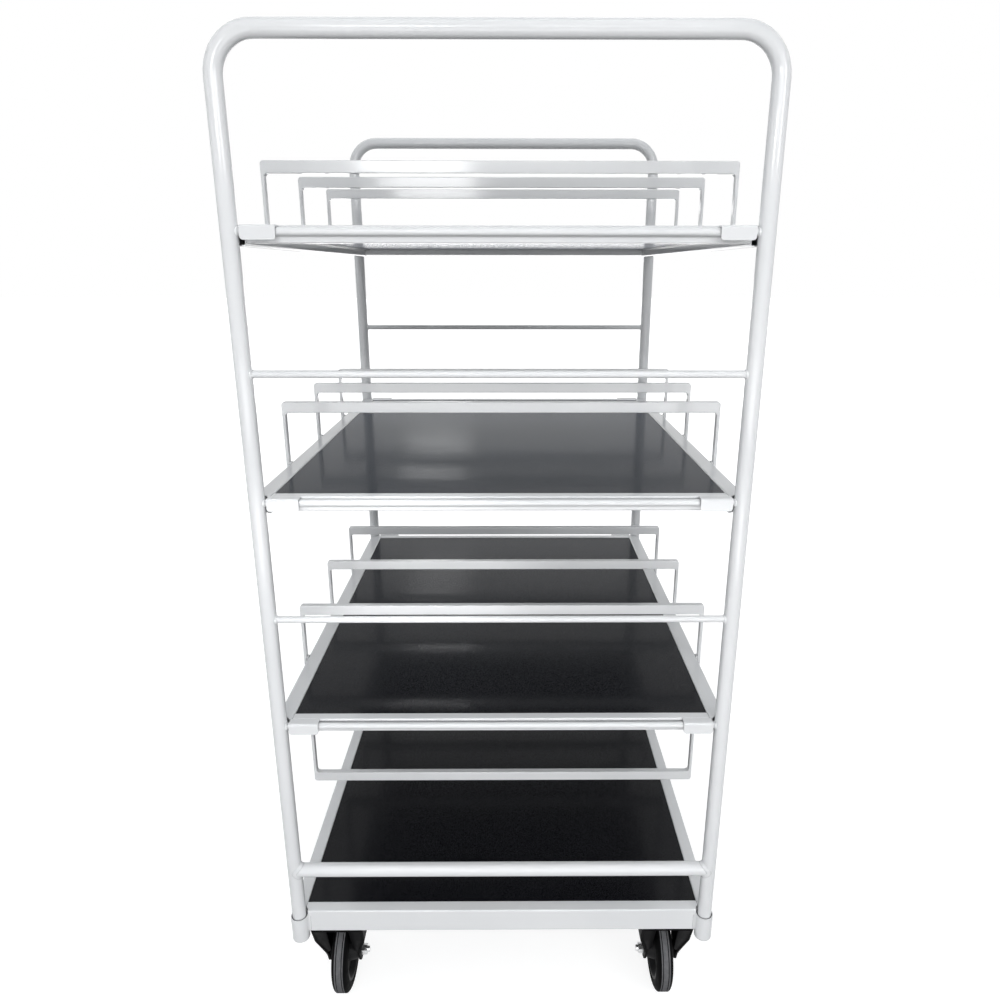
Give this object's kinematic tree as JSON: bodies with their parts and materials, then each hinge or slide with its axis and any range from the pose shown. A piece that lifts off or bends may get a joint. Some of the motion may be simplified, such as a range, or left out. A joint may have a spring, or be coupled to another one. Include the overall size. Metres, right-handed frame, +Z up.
{
  "type": "mobile storage rack",
  "caption": "Tall white tubular rack on casters with push handles at both ends, hook-in shelves with black panels and hoops that part the load.",
  "frame": {"origin": "on the floor below the middle of the rack", "axes": "+X to the right seen from the pictured end, +Y from that end to the far end, +Z up"},
  "size_m": [0.844, 1.0476, 1.8084],
  "materials": {
    "white_coat": "light grey-white gloss powder coat",
    "black_board": "smooth black film-faced board",
    "black_bracket": "black coated pressed steel",
    "zinc_fastener": "bright zinc plate",
    "tyre_rubber": "black solid rubber",
    "wheel_centre": "black moulded plastic",
    "bearing_steel": "ground steel"
  },
  "bodies": {
    "chassis": {"base_side_rails": "white_coat", "base_end_rails": "white_coat", "base_corner_sockets": "white_coat", "base_deck_panel": "black_board", "base_cross_bearers": "white_coat", "base_caster_pads": "white_coat", "caster_bolts": "zinc_fastener", "front_axle_bolts": "zinc_fastener", "front_push_tube": "white_coat", "front_lower_tube": "white_coat", "front_crossbars": "white_coat", "rear_push_tube": "white_coat", "rear_lower_tube": "white_coat", "rear_crossbars": "white_coat", "front_fork_left": "black_bracket", "rear_plate_left": "black_bracket", "rear_kingpin_left": "zinc_fastener", "front_fork_right": "black_bracket", "rear_plate_right": "black_bracket", "rear_kingpin_right": "zinc_fastener"},
    "lower_shelf": {"lower_shelf_side_rails": "white_coat", "lower_shelf_end_rails": "white_coat", "lower_shelf_hooks": "white_coat", "lower_shelf_panel": "black_board", "lower_shelf_ledges": "white_coat", "lower_shelf_hoops": "white_coat", "lower_shelf_hanging_hoops": "white_coat"},
    "middle_shelf": {"middle_shelf_side_rails": "white_coat", "middle_shelf_end_rails": "white_coat", "middle_shelf_hooks": "white_coat", "middle_shelf_panel": "black_board", "middle_shelf_ledges": "white_coat", "middle_shelf_hoops": "white_coat"},
    "top_shelf": {"top_shelf_side_rails": "white_coat", "top_shelf_end_rails": "white_coat", "top_shelf_hooks": "white_coat", "top_shelf_panel": "black_board", "top_shelf_ledges": "white_coat", "top_shelf_hoops": "white_coat"},
    "front_wheel_left": {"front_rim_left": "wheel_centre", "front_tyre_left": "tyre_rubber", "front_bearing_left": "bearing_steel"},
    "rear_swivel_left": {"rear_fork_left": "black_bracket", "rear_pins_left": "zinc_fastener", "rear_ball_ring_left": "bearing_steel"},
    "rear_wheel_left": {"rear_rim_left": "wheel_centre", "rear_tyre_left": "tyre_rubber", "rear_bearing_left": "bearing_steel"},
    "rear_brake_left": {"brake_pedal_left": "black_bracket"},
    "front_wheel_right": {"front_rim_right": "wheel_centre", "front_tyre_right": "tyre_rubber", "front_bearing_right": "bearing_steel"},
    "rear_swivel_right": {"rear_fork_right": "black_bracket", "rear_pins_right": "zinc_fastener", "rear_ball_ring_right": "bearing_steel"},
    "rear_wheel_right": {"rear_rim_right": "wheel_centre", "rear_tyre_right": "tyre_rubber", "rear_bearing_right": "bearing_steel"},
    "rear_brake_right": {"brake_pedal_right": "black_bracket"}
  },
  "joints": [
    {"name": "lower_shelf_lift", "type": "slide", "parent": "chassis", "child": "lower_shelf", "axis": [0, 0, 1], "range_m": [0, 0.15]},
    {"name": "middle_shelf_lift", "type": "slide", "parent": "chassis", "child": "middle_shelf", "axis": [0, 0, 1], "range_m": [0, 0.15]},
    {"name": "top_shelf_lift", "type": "slide", "parent": "chassis", "child": "top_shelf", "axis": [0, 0, 1], "range_m": [0, 0.15]},
    {"name": "front_wheel_left_spin", "type": "hinge", "parent": "chassis", "child": "front_wheel_left", "pos_m": [-0.335, -0.439, 0.08], "axis": [1, 0, 0], "continuous": true},
    {"name": "rear_swivel_left_turn", "type": "hinge", "parent": "chassis", "child": "rear_swivel_left", "pos_m": [-0.335, 0.439, 0.18], "axis": [0, 0, 1], "continuous": true},
    {"name": "rear_wheel_left_spin", "type": "hinge", "parent": "rear_swivel_left", "child": "rear_wheel_left", "pos_m": [-0.335, 0.384, 0.08], "axis": [1, 0, 0], "continuous": true},
    {"name": "rear_brake_left_press", "type": "hinge", "parent": "rear_swivel_left", "child": "rear_brake_left", "pos_m": [-0.335, 0.361, 0.172], "axis": [1, 0, 0], "range_deg": [0, 12]},
    {"name": "front_wheel_right_spin", "type": "hinge", "parent": "chassis", "child": "front_wheel_right", "pos_m": [0.335, -0.439, 0.08], "axis": [1, 0, 0], "continuous": true},
    {"name": "rear_swivel_right_turn", "type": "hinge", "parent": "chassis", "child": "rear_swivel_right", "pos_m": [0.335, 0.439, 0.18], "axis": [0, 0, 1], "continuous": true},
    {"name": "rear_wheel_right_spin", "type": "hinge", "parent": "rear_swivel_right", "child": "rear_wheel_right", "pos_m": [0.335, 0.384, 0.08], "axis": [1, 0, 0], "continuous": true},
    {"name": "rear_brake_right_press", "type": "hinge", "parent": "rear_swivel_right", "child": "rear_brake_right", "pos_m": [0.335, 0.361, 0.172], "axis": [1, 0, 0], "range_deg": [0, 12]}
  ]
}
